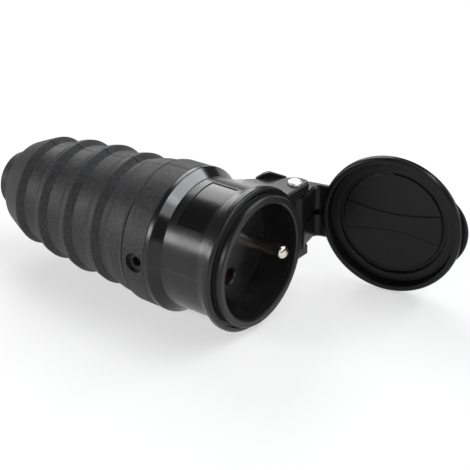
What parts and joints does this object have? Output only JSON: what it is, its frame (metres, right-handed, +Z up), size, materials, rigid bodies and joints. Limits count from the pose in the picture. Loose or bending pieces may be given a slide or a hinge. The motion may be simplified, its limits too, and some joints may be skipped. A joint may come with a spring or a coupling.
{
  "type": "inline socket connector",
  "caption": "Black inline mains socket with a projecting earth pin, a ribbed rubber grip and a hinged round lid that stands open.",
  "frame": {"origin": "centre of the socket's mouth, on the connector's axis", "axes": "+X out of the mouth along the connector's axis, +Y from the axis to the lid's hinge, +Z up along the hinge pin"},
  "size_m": [0.1556, 0.0826, 0.051],
  "materials": {
    "housing": "moulded, satin",
    "grip": "moulded, matt",
    "lid": "moulded, satin",
    "gasket": "moulded, matt",
    "insert": "moulded, matt",
    "shutter": "moulded, matt",
    "pin": "nickel plated",
    "steel": "polished",
    "brass": "turned",
    "clamp": "moulded, matt"
  },
  "bodies": {
    "casing": {"socket_housing": "housing", "grip_sleeve": "grip", "contact_cover": "insert", "contact_carrier": "insert", "earth_pin": "pin", "hinge_pin": "steel", "shutter_spring": "steel", "grip_screw": "steel", "cover_screw_upper": "steel", "cover_screw_lower": "steel", "clamp_screw_left": "steel", "clamp_screw_right": "steel", "earth_terminal": "brass", "line_contact": "brass", "neutral_contact": "brass", "line_terminal_screw": "steel", "neutral_terminal_screw": "steel", "earth_terminal_screw": "steel", "clamp_bridge": "clamp"},
    "lid": {"hinged_lid": "lid", "lid_gasket": "gasket"},
    "shutter": {"shutter": "shutter"}
  },
  "joints": [
    {"name": "lid_hinge", "type": "hinge", "parent": "casing", "child": "lid", "pos_m": [-0.0094, 0.0316, 0], "axis": [0, 0, 1], "range_deg": [-101.85, 16]},
    {"name": "shutter_turn", "type": "hinge", "parent": "casing", "child": "shutter", "pos_m": [-0.0173, 0, 0], "axis": [1, 0, 0], "range_deg": [0, 43], "stiffness_Nm_per_rad": 0.001}
  ]
}
